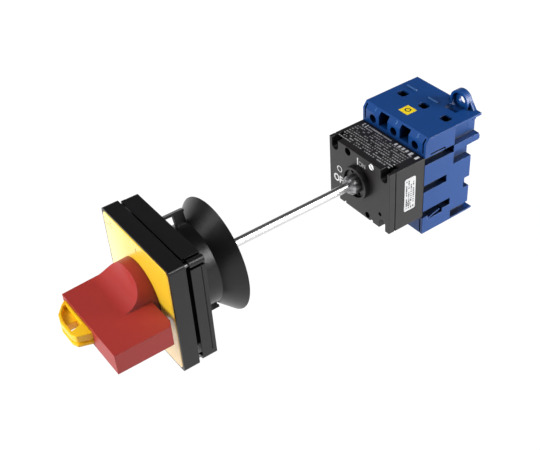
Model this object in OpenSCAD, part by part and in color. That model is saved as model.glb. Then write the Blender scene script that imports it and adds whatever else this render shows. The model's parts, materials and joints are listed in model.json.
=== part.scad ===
// Door-coupled rotary isolator switch: a three-pole contact block with its
// switching mechanism, a long round shaft, and a padlockable handle for the door.
// +Y runs from the handle towards the mounting panel, +Z is up, and the origin
// is where the shaft axis meets the back face of the block. Millimetres.

/* [Poles] */
// Distance between neighbouring poles
pole_pitch = 17.5; // [17:0.1:18.2]
// Distance between neighbouring moving contacts
bridge_pitch = 15; // [14.2:0.1:15.3]

/* [Contact block] */
// Width of the block over its side plates
block_w = 52.2; // [52:0.2:58]
// Height of the block
block_h = 65.1; // [64:0.1:68]
// Depth of the block from its back face to its front face
block_d = 41.5; // [41:0.5:46]
// How far the middle of the block lies below the shaft axis
block_drop = 2.65; // [2.2:0.05:3]
// Width of the core between the side plates
core_w = 43.2; // [42.8:0.1:44]
// Depth of the side plates from the front face
side_plate_d = 21.8; // [21:0.2:24]
// Height of the slots between the side plates
slot_h = 4.7; // [4:0.1:5]
// Level of the upper side slot's middle, from the shaft axis
upper_slot_z = 15.1; // [14.6:0.1:15.4]
// Level of the middle side slot's middle
middle_slot_z = -3.3; // [-3.6:0.1:-3]
// Level of the lower side slot's middle
lower_slot_z = -21.4; // [-21.8:0.1:-21]
// Thickness of the rear ledges
ledge_t = 4.3; // [3.6:0.1:4.6]
// Thickness of the plates that end the block at its top and bottom
end_plate_t = 1.5; // [1:0.1:1.8]
// Thickness of the rear base, which closes the block
base_t = 6; // [5:0.2:7]
// Wall thickness of the block
block_wall = 1.6; // [1.2:0.1:1.8]
// Depth of the rail channel across the back
rail_d = 4.8; // [4:0.1:4.9]
// Height of the bevel along the top front edge
bevel_h = 3.6; // [2:0.2:4]
// Depth of that bevel
bevel_d = 2.6; // [1:0.2:3]

/* [Terminals] */
// Distance from the end face of the block to the terminal screws
screw_inset = 7.6; // [7.2:0.1:7.8]
// Radius of the screwdriver holes
driver_hole_r = 2.6; // [2.4:0.05:2.8]
// Radius of the terminal screws
terminal_screw_r = 1.7; // [1.5:0.05:1.75]
// Distance of the cable entries from the back face
entry_y = 18.8; // [18.4:0.1:19.2]
// Width of a cable entry
entry_w = 5.9; // [5.6:0.1:6.2]
// Depth of a cable entry, front to back
entry_d = 5.6; // [5.4:0.1:5.8]
// Corner radius of a cable entry
entry_r = 1.5; // [1:0.1:1.8]
// Width of the barrier pockets between the poles
pocket_w = 7.3; // [6:0.1:7.6]
// Height of the barrier pockets
pocket_h = 8.6; // [6:0.1:9]
// Distance of the barrier pockets from the end face
pocket_inset = 1.1; // [0.9:0.1:2]
// Depth of the barrier pockets
pocket_d = 9.5; // [6:0.1:10]
// Outer width of a cable clamp
clamp_w = 6.2; // [5.8:0.1:6.4]
// Width of the contact strips
strip_w = 4.2; // [3.6:0.1:4.4]
// Thickness of the contact strips
strip_t = 1.2; // [0.8:0.1:1.4]
// Depth of the terminal screws' heads
terminal_head_l = 2.6; // [2:0.1:3]

/* [Ears] */
// Distance of the mounting holes from the shaft axis, sideways
ear_x = 12.4; // [11:0.1:13]
// Distance of the mounting holes beyond the end faces
ear_rise = 2.5; // [2.4:0.1:3]
// Outer radius of an ear
ear_r = 6.75; // [6.6:0.05:7.2]
// Radius of the seat for the screw's head
ear_seat_r = 5.2; // [4.8:0.1:5.4]
// Thickness of the ear under the screw's head
ear_floor = 2; // [1.6:0.1:2.6]
// Radius of the mounting hole
ear_hole_r = 2.3; // [2:0.1:2.6]
// Thickness of an ear
ear_t = 4.5; // [3:0.1:5]

/* [Mechanism] */
// Width of the mechanism box
box_w = 51.8; // [51:0.2:54]
// Height of the mechanism box
box_h = 40.2; // [39:0.2:42]
// How far the middle of the box lies below the shaft axis
box_drop = 2.2; // [1.8:0.1:2.6]
// Depth of the mechanism box with its cover
box_d = 25; // [24:0.2:28]
// Thickness of the front cover
cover_t = 4; // [3.6:0.1:4.4]
// Distance of the cover's side walls from the room for the rotor
rotor_room = 10.9; // [10.4:0.1:11.4]
// Outer radius of the collar round the hub
collar_r = 10; // [9.6:0.1:10.6]
// Inner radius of the collar
collar_bore_r = 8.5; // [8.4:0.1:8.7]
// How far the collar stands out of the cover
collar_l = 3.7; // [3:0.1:5]
// Radius of the hub that holds the shaft
hub_r = 5.6; // [5.2:0.1:6]
// How far the hub stands out of the cover
hub_l = 8.4; // [7:0.1:10]
// Radius of the hub's front end, before its taper
hub_nose_r = 4.2; // [3.6:0.1:5]
// Half the width of the square detent cam on the rotor
cam_half = 7; // [6.6:0.1:7.2]
// Radius of the crank pin's path
crank_r = 3; // [2.8:0.1:3.1]
// Radius of the crank pin
crank_pin_r = 1.5; // [1.3:0.1:1.6]
// Rest angle of the crank, before the middle of its quarter turn
crank_rest = 45; // [45:1:45]

/* [Labels] */
// Height of the label on the side of the box
label_h = 22; // [18:0.5:26]
// Width of that label
label_w = 8; // [6:0.2:9]
// Side of the sticker on top of the block
sticker_w = 7.2; // [6:0.1:8]

/* [Shaft] */
// Diameter of the shaft
shaft_d = 5; // [4.8:0.1:5.4]
// Distance from the back face to the front edge of the front frame
door_y = 206.3; // [190:0.1:240]
// How far the shaft reaches into the rotor, from the cover's face
shaft_grip = 14; // [10:0.5:16]
// Radial clearance of the shaft in its sockets
shaft_gap = 0.05; // [0.02:0.01:0.1]

/* [Door frames] */
// Side of the square front frame
frame_w = 66; // [66:0.5:72]
// Depth of the front frame
frame_d = 9; // [8:0.1:9.4]
// Corner radius of the frames
frame_corner = 2; // [1:0.1:3]
// Side of the yellow plate
plate_w = 63.4; // [63:0.1:64.4]
// Corner radius of the yellow plate
plate_corner = 3; // [2:0.1:4]
// Thickness of the yellow plate
plate_t = 1.7; // [1.4:0.1:2]
// How far the plate stands out of the front frame
plate_proud = 0.4; // [0.2:0.1:1]
// Thickness of the seal between the frames
seal_t = 2.6; // [2:0.1:4]
// Side of the seal
seal_w = 55; // [50:0.5:56]
// Side of the square rear frame
rear_w = 64.5; // [63:0.1:65]
// Depth of the rear frame
rear_d = 8.3; // [7.6:0.1:9]
// Distance of the fixing screws from the sides of the rear frame
screw_edge = 2.2; // [2.1:0.1:3]
// Radius of the bosses round the fixing screws
boss_r = 2.15; // [2:0.05:2.2]
// Radius of the fixing screws' heads
screw_head_r = 1.6; // [1.4:0.05:1.7]
// Radius of the fixing screws' shanks
screw_shank_r = 1.1; // [0.9:0.05:1.2]

/* [Shaft guide] */
// Outer radius of the neck
neck_r = 22.7; // [22:0.1:24]
// Length of the neck behind the rear frame
neck_l = 12.9; // [12:0.1:15]
// Outer radius of the funnel's rim
rim_r = 32; // [31:0.2:34]
// Length of the flared part
flare_l = 10.2; // [9:0.1:12]
// Wall thickness of the guide
guide_wall = 1.3; // [1:0.1:1.6]
// Distance of the upper latch arm's outside from the shaft axis
upper_latch = 29.9; // [28.6:0.1:31]
// Distance of the lower latch arm's outside from the shaft axis
lower_latch = 26; // [25.6:0.1:27]
// Thickness of the latch arms
latch_t = 1.4; // [1.2:0.1:2.8]
// Radius of the throat that centres the shaft's coupler
throat_r = 8.4; // [8:0.1:9]

/* [Handle] */
// Radius of the round part of the handle
grip_r = 18.1; // [17.4:0.1:19]
// How much the round part widens towards the plate
grip_draft = 0.4; // [0:0.1:0.8]
// Length of the handle in front of the plate
handle_l = 35.2; // [35:0.2:38]
// Thickness of the paddle
paddle_t = 12; // [11.4:0.1:13]
// Reach of the paddle on its long side
paddle_long = 37.5; // [34:0.5:40]
// Reach of the paddle on its short side
paddle_short = 16.5; // [16.4:0.1:17.2]
// How much the short side widens towards the plate
paddle_draft = 1.4; // [0.4:0.1:1.6]
// Gap between the paddle and the plate
paddle_gap = 3.2; // [2:0.1:4]
// Radius of the scoops between the paddle and the round part
scoop_r = 13; // [12:0.1:13.4]
// Distance from the plate to the deepest line of the scoops
scoop_y = 19.4; // [18:0.1:21]
// Radius of the stem that turns in the front frame
stem_r = 14; // [13:0.1:14.6]
// Radial clearance round the stem
stem_gap = 0.3; // [0.2:0.05:0.5]
// Outer radius of the coupler sleeve
coupler_r = 7.4; // [7:0.1:7.6]

/* [Padlock slide] */
// Left edge of the slide, seen from the front
slide_left = 15.1; // [14.8:0.1:15.3]
// Right edge of the slide
slide_right = 14.2; // [14:0.1:16]
// How far the slide stands out of the handle
slide_out = 8.6; // [8.2:0.1:10]
// How far the slide pushes in
slide_travel = 7; // [6:0.1:7.4]
// Top of the slide, from the shaft axis
slide_top = 3; // [2.6:0.1:3.4]
// Bottom of the slide, below the shaft axis
slide_bottom = 4.3; // [4:0.1:5]
// Width of the slide's rim in front of the window
slide_rim = 1.7; // [1.4:0.1:2]
// Width of the slide behind the window
slide_bar = 1; // [0.8:0.1:1.8]
// Length of the window for the padlock
window_w = 17; // [14:0.5:17.5]
// Clearance of the slide in the handle
slide_gap = 0.3; // [0.2:0.05:0.4]

/* [Hidden] */
$fn = 64;

// Pole positions and the levels of the block
poles = [-1, 0, 1];
block_top = block_h / 2 - block_drop;
block_bottom = -block_h / 2 - block_drop;
screw_z = block_top - screw_inset;
seam_y = -base_t;
front_y = -block_d;
plate_back = front_y + side_plate_d;
eps = 0.02;

// Side slots, their slits, and the ledges behind them
slot_half = slot_h / 2;
slit_front = front_y + 4;
slit_back = plate_back - 6.8;
slit_t = 0.9;
middle_slot_end = plate_back - 4.6;
lower_slot_end = plate_back - 0.9;
ledge_z = upper_slot_z + 1.7;
middle_top = middle_slot_z + 7.5;
middle_low = middle_slot_z - 6.9;
notch_y = -10.4;
rail_low = lower_slot_z + 4.4;
foot_half = 8;
skirt_low = lower_slot_z - 7.2;
sole_t = 0.9;
sole_y = -2.2;

// Contact system, seen from the side: strips, bridges and the carriage
tongue_y = -entry_y + entry_d / 2 + 0.6;
strip_y = -26.5;
strip_drop = 12.6;
tip_end = 22.5;
chamber_front = -25.4;
chamber_half = block_h / 2 - 12.35;
room_back = -11.6;
cage_half = 2.9;
terminal_front = front_y + 5.5;
terminal_slot_d = 0.8;
contact_gap = 0.3;
bridge_t = 1.3;
bridge_w = 3;
bridge_y = strip_y - strip_t - contact_gap;
bridge_half = block_h / 2 - 18.05;
carriage_y = front_y + 3.2;
carriage_t = 3.4;
carriage_half = block_h / 2 - 20.55;
guide_x = 2.1;
guide_t = 0.8;
guide_gap = 0.8;
crank_slot_top = 6.4;
travel = 2 * crank_r * sin(crank_rest);
rest_x = -travel / 2;
carriage_reach = core_w / 2 - block_wall - travel / 2 - 0.68;

// Mechanism levels and the places of its screws
box_front = front_y - box_d;
cover_y = box_front + cover_t;
box_top = box_h / 2 - box_drop;
box_bottom = -box_h / 2 - box_drop;
rotor_back = front_y + block_wall + 0.6;
room_half = box_w / 2 - rotor_room;
upper_screw = [box_w / 2 - 4.9, box_top - 4.5];
lower_screw = [box_w / 2 - 5.9, box_bottom + 4.3];
cover_screw_x = 10.2;
cover_screw_z = box_top - 2.9;
cover_screw_r = 2;
head_y = cover_y + 3;
head_back = cover_y + 5.2;
spring_z = cam_half + 0.6;
hub_taper = 2;
label_y = box_front + 14.7;
label_z = box_bottom + 21.1;
sticker_x = -6.1;
sticker_y = front_y + 9;
trim_t = 0.15;

// Door unit levels
frame_y = -door_y;
plate_y = frame_y - plate_proud;
handle_front = plate_y - handle_l;
gap_y = frame_y + frame_d;
rear_y = gap_y + seal_t;
neck_y = rear_y + rear_d;
flare_y = neck_y + neck_l;
rim_y = flare_y + flare_l;
coupler_reach = 11;
coupler_tail = 7;
coupler_mouth_r = 5.2;
shaft_reach = 5;
pin_inset = 4;
slide_depth = 13;
coupler_front = plate_y - coupler_reach;
coupler_back = neck_y + coupler_tail;
shaft_front = plate_y - shaft_reach;
pin_y = plate_y + pin_inset;
slide_back = handle_front + slide_depth;
screw_reach = rear_w / 2 - screw_edge;
lug_t = 1.6;
lip_gap = 1.2;
groove_at = 5.4;

// A box between two corners
module span(low, high) {
    translate(low) cube(high - low);
}

// A round bar along Y
module bar(r, y0, y1, x = 0, z = 0) {
    translate([x, y0, z]) rotate([-90, 0, 0]) cylinder(r = r, h = y1 - y0);
}

// A front-view outline, extruded from y0 to y1
module slab(y0, y1) {
    translate([0, y1, 0]) rotate([90, 0, 0]) linear_extrude(y1 - y0) children();
}

// A side-view outline, extruded from x0 to x1
module web(x0, x1) {
    translate([x0, 0, 0]) rotate([90, 0, 90]) linear_extrude(x1 - x0) children();
}

// A square with round corners
module soft_square(w, r) {
    soft_box(w, w, r);
}

// A rectangle with round corners
module soft_box(w, h, r) {
    square([w, h - 2 * r], center = true);
    square([w - 2 * r, h], center = true);
    for (x = [-1, 1], y = [-1, 1])
        translate([x * (w / 2 - r), y * (h / 2 - r)]) circle(r);
}

// What is drawn for the line side is repeated upside down for the load side
module load_side() {
    translate([0, 0, -2 * block_drop]) mirror([0, 0, 1]) children();
}

// A round-wire coil along Z
module coil(r, wire_r, length, turns) {
    sides = 8;
    per_turn = 14;
    rings = turns * per_turn;
    points = [
        for (i = [0 : rings], k = [0 : sides - 1])
        let (a = 360 * i / per_turn, b = 360 * k / sides)
        [(r + wire_r * cos(b)) * cos(a), (r + wire_r * cos(b)) * sin(a),
         wire_r + (length - 2 * wire_r) * i / rings + wire_r * sin(b)]
    ];
    start = [for (k = [0 : sides - 1]) k];
    end = [for (k = [sides - 1 : -1 : 0]) rings * sides + k];
    skin = [
        for (i = [0 : rings - 1], k = [0 : sides - 1])
        let (n = (k + 1) % sides)
        [i * sides + k, (i + 1) * sides + k, (i + 1) * sides + n, i * sides + n]
    ];
    polyhedron(points, concat([start, end], skin));
}

// Contact block
module end_recesses() {
    // Cable entries, screwdriver holes and barrier pockets
    for (p = poles) translate([p * pole_pitch, 0, 0]) {
        translate([0, -entry_y, block_top - end_plate_t - 1]) linear_extrude(end_plate_t + 2)
            soft_box(entry_w, entry_d, entry_r);
        bar(driver_hole_r, front_y - 1, chamber_front + 1, 0, screw_z);
    }
    for (p = [-0.5, 0.5]) translate([p * pole_pitch, 0, 0])
        span([-pocket_w / 2, front_y - 1, block_top - pocket_inset - pocket_h],
             [pocket_w / 2, front_y + pocket_d, block_top - pocket_inset]);
    for (s = [-1, 1]) translate([s * (block_w / 2 - 2), 0, 0])
        span([-0.5, front_y - 1, screw_z - 2.4], [0.5, front_y + 4, block_top - pocket_inset]);
    // Room for the clamps and contact strips
    for (p = poles) translate([p * pole_pitch, 0, 0])
        span([-clamp_w / 2 - 0.2, chamber_front, chamber_half - 10],
             [clamp_w / 2 + 0.2, room_back, block_top - end_plate_t]);
}

module top_bevel() {
    web(-block_w, block_w) polygon([
        [front_y - 1, block_top - bevel_h], [front_y, block_top - bevel_h],
        [front_y + bevel_d, block_top], [front_y + bevel_d, block_top + 1],
        [front_y - 1, block_top + 1]
    ]);
}

module entry_ribs() {
    // Short ribs behind two of the cable entries
    for (p = [-1, 0])
        span([p * pole_pitch - 4.4, -12, block_top - 0.2],
             [p * pole_pitch + 3.4, -11, block_top + 0.8]);
}

module side_plate(y1, z0, z1) {
    // The same plate on both sides, from the front face back to y1
    span([-block_w / 2, front_y, z0], [-core_w / 2 + 0.4, y1, z1]);
    span([core_w / 2 - 0.4, front_y, z0], [block_w / 2, y1, z1]);
}

module side_cut(y0, y1, z0, z1) {
    // A cut through the side plates on both sides
    span([-block_w, y0, z0], [-core_w / 2, y1, z1]);
    span([core_w / 2, y0, z0], [block_w, y1, z1]);
}

module side_plates() {
    upper = upper_slot_z + slot_half;
    lower = lower_slot_z - slot_half;
    // Upper plate, with a springy strip over its slot
    difference() {
        side_plate(plate_back, upper, block_top - eps);
        side_cut(slit_front, slit_back, upper + slit_t, upper + 2 * slit_t);
        side_cut(slit_back - 0.7, slit_back, upper - 0.1, upper + slit_t + 0.1);
    }
    side_plate(plate_back, middle_slot_z + slot_half, upper_slot_z - slot_half);
    side_plate(plate_back, lower_slot_z + slot_half, middle_slot_z - slot_half);
    // Lower plate, with a sloping strip under its slot
    difference() {
        side_plate(plate_back, block_bottom + eps, lower);
        side_cut(slit_front, slit_back, lower - 2.5, lower + 0.1);
    }
    for (x = [-block_w / 2, core_w / 2 - 0.4])
        web(x, x + (block_w - core_w) / 2 + 0.4) polygon([
            [slit_front - 0.5, lower - 2.6], [slit_front + 9, lower + 0.2],
            [slit_front + 9, lower + 1], [slit_front - 0.5, lower - 1.6]
        ]);
    // Closed rear ends of the two lower slots
    difference() {
        side_plate(plate_back, middle_slot_z - slot_half - 0.5, middle_slot_z + slot_half + 0.5);
        side_cut(front_y - 1, middle_slot_end, -block_h, block_h);
    }
    difference() {
        side_plate(plate_back, lower_slot_z - slot_half - 0.5, lower_slot_z + slot_half + 0.5);
        side_cut(front_y - 1, lower_slot_end, -block_h, block_h);
    }
    // Rear ledges and the plates over and under the block
    difference() {
        union() {
            side_plate(seam_y, ledge_z - ledge_t, ledge_z);
            side_plate(seam_y, middle_low, middle_top);
            side_plate(seam_y, skirt_low, rail_low);
            side_plate(notch_y, rail_low - 0.2, middle_low + 0.2);
            side_plate(seam_y, block_top - end_plate_t, block_top - eps);
            side_plate(seam_y, block_bottom + eps, block_bottom + sole_t);
        }
        side_cut(front_y - 1, plate_back - 0.2, -block_h, block_h);
    }
}

module ear_seat() {
    // Room for the head of the ear's screw
    bar(ear_seat_r, room_back + 0.6, -ear_floor, ear_x, block_top + ear_rise);
}

module contact_housing() {
    color("royalblue") difference() {
        union() {
            span([-core_w / 2, front_y, block_bottom], [core_w / 2, seam_y, block_top]);
            side_plates();
            entry_ribs();
        }
        end_recesses();
        load_side() end_recesses();
        top_bevel();
        // Contact chamber, open to the back, with two rails for the carriage
        difference() {
            span([-core_w / 2 + block_wall, front_y + block_wall, -chamber_half - block_drop],
                 [core_w / 2 - block_wall, seam_y + 1, chamber_half - block_drop]);
            for (s = [-1, 1]) translate([0, 0, s * (carriage_half + 1) - block_drop])
                span([-core_w / 2, front_y, -0.7], [core_w / 2, carriage_y + carriage_t, 0.7]);
        }
        bar(collar_bore_r, front_y - 1, front_y + block_wall + 1);
        ear_seat();
        twin_ear() ear_seat();
    }
}

module twin_ear() {
    // The second ear stands across the block from the first
    rotate([0, 180, 0]) translate([0, 0, 2 * block_drop]) children();
}

module ear() {
    // Round ear with flared flanks
    foot = 2 * ear_rise + 1;
    bar(ear_r, -ear_t, 0, ear_x, block_top + ear_rise);
    slab(-ear_floor - 0.5, 0) translate([ear_x, block_top]) polygon([
        [-ear_r - 3.2, -foot], [-ear_r - 3.2, 0], [-ear_r + 0.6, ear_rise + 2.6],
        [ear_r - 0.6, ear_rise + 2.6], [ear_r + 3.2, 0], [ear_r + 3.2, -foot]
    ]);
    span([ear_x - ear_r, -ear_t, block_top - foot], [ear_x + ear_r, 0, block_top + ear_rise]);
}

module rear_base() {
    top_z = ledge_z - ledge_t;
    color("royalblue") difference() {
        union() {
            span([-core_w / 2, seam_y, block_bottom], [core_w / 2, -rail_d, block_top]);
            // Foot in the middle of the channel, inside the rail
            span([-foot_half, seam_y, -foot_half - 4], [foot_half, 0, foot_half - 2]);
            // The part above the rail reaches the panel
            span([-core_w / 2, seam_y, top_z], [core_w / 2, 0, block_top]);
            span([-block_w / 2, seam_y, block_top - end_plate_t], [block_w / 2, 0, block_top]);
            span([-block_w / 2, seam_y, top_z], [block_w / 2, -0.6, ledge_z]);
            span([-block_w / 2, seam_y, top_z + 0.4], [block_w / 2, 0, ledge_z - 1.5]);
            span([-block_w / 2, seam_y, block_bottom], [block_w / 2, sole_y, block_bottom + sole_t]);
            ear();
            twin_ear() ear();
        }
        for (side = [0, 1]) rotate([0, 180 * side, 0]) translate([0, 0, 2 * block_drop * side]) {
            ear_seat();
            bar(ear_hole_r, -ear_t - 1, 1, ear_x, block_top + ear_rise);
        }
    }
}

module contact_strip(p) {
    // Tongue behind the cable, step forward, tip under the bridge
    x = p * pole_pitch;
    tip_x = p * bridge_pitch + travel / 2;
    top = block_top - 3.4;
    step = block_top - strip_drop;
    left = min(x - strip_w / 2, tip_x - bridge_w / 2);
    right = max(x + strip_w / 2, tip_x + bridge_w / 2);
    span([x - strip_w / 2, tongue_y, step - strip_t], [x + strip_w / 2, tongue_y + strip_t, top]);
    span([x - strip_w / 2, strip_y - strip_t, step - strip_t],
         [x + strip_w / 2, tongue_y + 0.4, step]);
    span([left, strip_y - strip_t, step - 4], [right, strip_y, step - 0.3]);
    span([tip_x - bridge_w / 2, strip_y - strip_t, block_top - tip_end],
         [tip_x + bridge_w / 2, strip_y, step - 3]);
}

module line_contacts() {
    color("darkgoldenrod") for (p = poles) contact_strip(p);
}

module load_contacts() {
    color("darkgoldenrod") load_side() for (p = poles) contact_strip(p);
}

module clamp(p) {
    // Cage round the cable, with a thread for the screw
    translate([p * pole_pitch, 0, screw_z]) difference() {
        span([-clamp_w / 2, chamber_front + 0.4, -cage_half],
             [clamp_w / 2, tongue_y + strip_t + 1.4, cage_half]);
        span([-clamp_w / 2 + 0.8, -entry_y - entry_d / 2, -cage_half - 1],
             [clamp_w / 2 - 0.8, tongue_y + strip_t, cage_half + 1]);
        bar(terminal_screw_r + eps, chamber_front - 0.6, -entry_y);
    }
}

module line_clamps() {
    color("silver") for (p = poles) clamp(p);
}

module load_clamps() {
    color("silver") load_side() for (p = poles) clamp(p);
}

module slotted_screw(p) {
    translate([p * pole_pitch, 0, screw_z]) difference() {
        union() {
            bar(terminal_screw_r, terminal_front + 1, -entry_y - entry_d / 2 + 0.4);
            bar(driver_hole_r - 0.2, terminal_front, terminal_front + terminal_head_l);
        }
        span([-driver_hole_r, terminal_front - 1, -0.35],
             [driver_hole_r, terminal_front + terminal_slot_d, 0.35]);
    }
}

module line_screws() {
    color("gray") for (p = poles) slotted_screw(p);
}

module load_screws() {
    color("gray") load_side() for (p = poles) slotted_screw(p);
}

// Mechanism
module corner_pocket(x, z, w, open) {
    // Screw pocket with a round inner end, open to the top or the bottom
    bar(w / 2, box_front - 1, head_back, x, z);
    span([x - w / 2, box_front - 1, min(z, z + open)],
         [x + w / 2, head_back, max(z, z + open)]);
}

module front_openings() {
    for (s = [-1, 1]) {
        corner_pocket(s * upper_screw[0], upper_screw[1], 5.4, 8);
        corner_pocket(s * lower_screw[0], lower_screw[1], 5, -8);
    }
}

module blind_holes() {
    // Small holes in the cover's face, the right one for the bright screw
    for (x = [-9.6, cover_screw_x])
        bar(cover_screw_r + 0.4, box_front - 1, box_front + 3, x, cover_screw_z);
    bar(1.3, box_front - 1, box_front + 3, -10.4, cover_screw_z + 0.9);
    bar(1.9, box_front - 1, box_front + 3, 7.4, box_bottom + 2.7);
    bar(1.2, box_front - 1, box_front + 3, 18.1, box_bottom + 9.6);
    span([9.7, box_front - 1, box_bottom - 1], [12, box_front + 2.4, box_bottom + 1.2]);
    span([-13.4, box_front - 1, box_bottom - 1], [-11.8, box_front + 2.4, box_bottom + 1.2]);
}

module box_body(y0, y1) {
    span([-box_w / 2, y0, box_bottom], [box_w / 2, y1, box_top]);
}

module screw_line(r, y0, y1) {
    for (s = [-1, 1], place = [upper_screw, lower_screw])
        bar(r, y0, y1, s * place[0], place[1]);
}

module mechanism_cover() {
    color("dimgray") difference() {
        union() {
            box_body(box_front, cover_y);
            bar(collar_r, box_front - collar_l, box_front + 1);
        }
        bar(collar_bore_r, box_front - collar_l - 1, cover_y + 1);
        front_openings();
        blind_holes();
    }
}

module cover_screw() {
    color("silver") translate([cover_screw_x, 0, cover_screw_z]) difference() {
        bar(cover_screw_r, box_front + 0.3, box_front + 3);
        rotate([0, 45, 0]) span([-3, box_front, -0.35], [3, box_front + 1.2, 0.35]);
    }
}

module mechanism_box() {
    color("dimgray") difference() {
        box_body(cover_y, front_y);
        // Grooves down both sides, behind the cover
        for (s = [-1, 1])
            span([s * box_w / 2 - 0.4, cover_y - 1, box_bottom - 1],
                 [s * box_w / 2 + 0.4, cover_y + 0.6, box_top + 1]);
        // Room for the rotor and its springs
        span([-room_half, cover_y - 1, -room_half + 2], [room_half, front_y - 3, room_half - 2]);
        bar(collar_bore_r, front_y - 4, front_y + 1);
        front_openings();
        screw_line(1.3, box_front, front_y - 1);
    }
}

module detent_springs() {
    // Leaf springs above and below the rotor's cam
    color("silver") for (s = [-1, 1])
        span([-room_half + 0.6, cover_y + 3, s * spring_z - 0.3],
             [room_half - 0.6, cover_y + 9, s * spring_z + 0.3]);
}

module box_screws() {
    color("gray") difference() {
        union() {
            screw_line(2.3, head_y, head_back);
            screw_line(1.25, head_back - 0.2, front_y - 1.5);
        }
        for (s = [-1, 1], place = [upper_screw, lower_screw])
            translate([s * place[0], 0, place[1]]) {
                span([-1.8, head_y - 1, -0.3], [1.8, head_y + 1, 0.3]);
                span([-0.3, head_y - 1, -1.8], [0.3, head_y + 1, 1.8]);
            }
    }
}

module type_label() {
    // Rounded label on the right side of the box
    color("white") translate([box_w / 2, label_y, 0]) web(0, trim_t)
        translate([0, label_z]) soft_box(label_w, label_h, 1.2);
}

module warning_sticker() {
    // Square sticker on top of the block
    color("yellow") span([sticker_x, sticker_y, block_top],
                         [sticker_x + sticker_w, sticker_y + sticker_w, block_top + trim_t]);
}

module rotor() {
    color("dimgray") difference() {
        union() {
            // Hub and flange in the collar
            translate([0, box_front - hub_l, 0]) rotate([-90, 0, 0])
                cylinder(r1 = hub_nose_r, r2 = hub_r, h = hub_taper);
            bar(hub_r, box_front - hub_l + hub_taper, box_front);
            bar(collar_bore_r - 0.3, box_front - 2.2, cover_y + 0.5);
            // Square cam with cut corners
            intersection() {
                span([-cam_half, cover_y + 0.3, -cam_half], [cam_half, cover_y + 11, cam_half]);
                bar(cam_half * 1.28, cover_y, cover_y + 12);
            }
            bar(collar_bore_r - 0.4, cover_y + 10, rotor_back);
            // Crank pin
            bar(crank_pin_r, rotor_back - 1, carriage_y + carriage_t - 0.2,
                rest_x, crank_r * cos(crank_rest));
        }
        bar(shaft_d / 2 + shaft_gap, box_front - hub_l - 1, box_front + shaft_grip + 0.5);
        // Pockets in the flange, at eleven and five o'clock
        for (a = [115, -65]) rotate([0, -a, 0])
            bar(1.2, box_front - 3, box_front + 1, hub_r + 1.3);
        // Thread of the hub screw
        translate([0, box_front - 5, -hub_r - 1]) cylinder(r = 1.27, h = hub_r + 1);
    }
}

module hub_screw() {
    color("gray") translate([0, box_front - 5, -hub_r + 0.1])
        cylinder(r = 1.25, h = hub_r - shaft_d / 2 - 0.15);
}

module shaft() {
    color("lightgray") bar(shaft_d / 2, shaft_front, box_front + shaft_grip);
}

// Moving contacts
module contact_carriage() {
    color("dimgray") difference() {
        union() {
            span([rest_x - carriage_reach, carriage_y, -carriage_half - block_drop],
                 [rest_x + carriage_reach, carriage_y + carriage_t, carriage_half - block_drop]);
            for (p = poles, s = [-1, 1])
                translate([p * bridge_pitch + rest_x + s * guide_x, carriage_y, -block_drop])
                    span([-guide_t / 2, carriage_t - 0.4, 4 - carriage_half],
                         [guide_t / 2, bridge_y - bridge_t - guide_gap - carriage_y, carriage_half - 4]);
        }
        // Slot for the crank pin
        span([rest_x - crank_pin_r - 0.2, carriage_y - 1, -0.4],
             [rest_x + crank_pin_r + 0.2, carriage_y + carriage_t + 1, crank_slot_top]);
    }
}

module contact_bridges() {
    color("darkgoldenrod") for (p = poles)
        translate([p * bridge_pitch + rest_x, bridge_y, -block_drop])
            span([-bridge_w / 2, -bridge_t, -bridge_half], [bridge_w / 2, 0, bridge_half]);
}

module bridge_springs() {
    room = bridge_y - bridge_t - carriage_y - carriage_t;
    color("silver") for (p = poles)
        translate([p * bridge_pitch + rest_x, carriage_y + carriage_t, -block_drop])
            rotate([-90, 0, 0]) coil(1.2, 0.25, room, 4);
}

// Door unit
module plate_bore() {
    bar(stem_r + stem_gap, plate_y - 1, rear_y + 1);
}

module front_plate() {
    color("gold") difference() {
        slab(plate_y, plate_y + plate_t) soft_square(plate_w, plate_corner);
        plate_bore();
    }
}

module screw_spots() {
    for (x = [-1, 1], z = [-1, 1])
        translate([x * screw_reach, 0, z * screw_reach]) children();
}

module front_frame() {
    color("dimgray") difference() {
        slab(frame_y, gap_y) soft_square(frame_w, frame_corner);
        // Seat of the plate
        slab(frame_y - 1, plate_y + plate_t) soft_square(plate_w + 0.1, plate_corner + 0.05);
        plate_bore();
        screw_spots() bar(screw_shank_r + eps, frame_y + 2.2, gap_y + 1);
    }
}

module door_seal() {
    color("black") difference() {
        slab(gap_y, rear_y) soft_square(seal_w, 4);
        bar(20, gap_y - 1, rear_y + 1);
    }
}

module rear_frame() {
    color("dimgray") difference() {
        union() {
            difference() {
                slab(rear_y, neck_y) soft_square(rear_w, frame_corner);
                // Two corners are cut back to the bosses of their screws
                for (a = [0, 180]) rotate([0, a, 0])
                    span([screw_reach - 2.4, rear_y - 1, screw_reach - 2.4],
                         [rear_w, neck_y + 1, rear_w]);
            }
            for (a = [0, 180]) rotate([0, a, 0]) {
                bar(boss_r, rear_y, neck_y, screw_reach, screw_reach);
                span([screw_reach - 3, rear_y, screw_reach - 3],
                     [screw_reach, neck_y - lug_t, screw_reach]);
            }
            // Lip over the seal, along the top
            span([-rear_w / 2 + 1.2, gap_y + lip_gap, seal_w / 2 + 2.5],
                 [seal_w / 2 - 0.5, rear_y + 1, rear_w / 2]);
        }
        // Grooves down both sides
        for (s = [-1, 1])
            span([s * rear_w / 2 - 0.4, rear_y + groove_at, -seal_w / 2],
                 [s * rear_w / 2 + 0.4, rear_y + groove_at + 0.8, seal_w / 2]);
        bar(20, rear_y - 1, neck_y + 1);
        screw_spots() {
            bar(screw_shank_r + 0.1, gap_y, neck_y + 1);
            bar(screw_head_r + 0.1, neck_y - lug_t, neck_y + 1);
        }
    }
}

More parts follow.
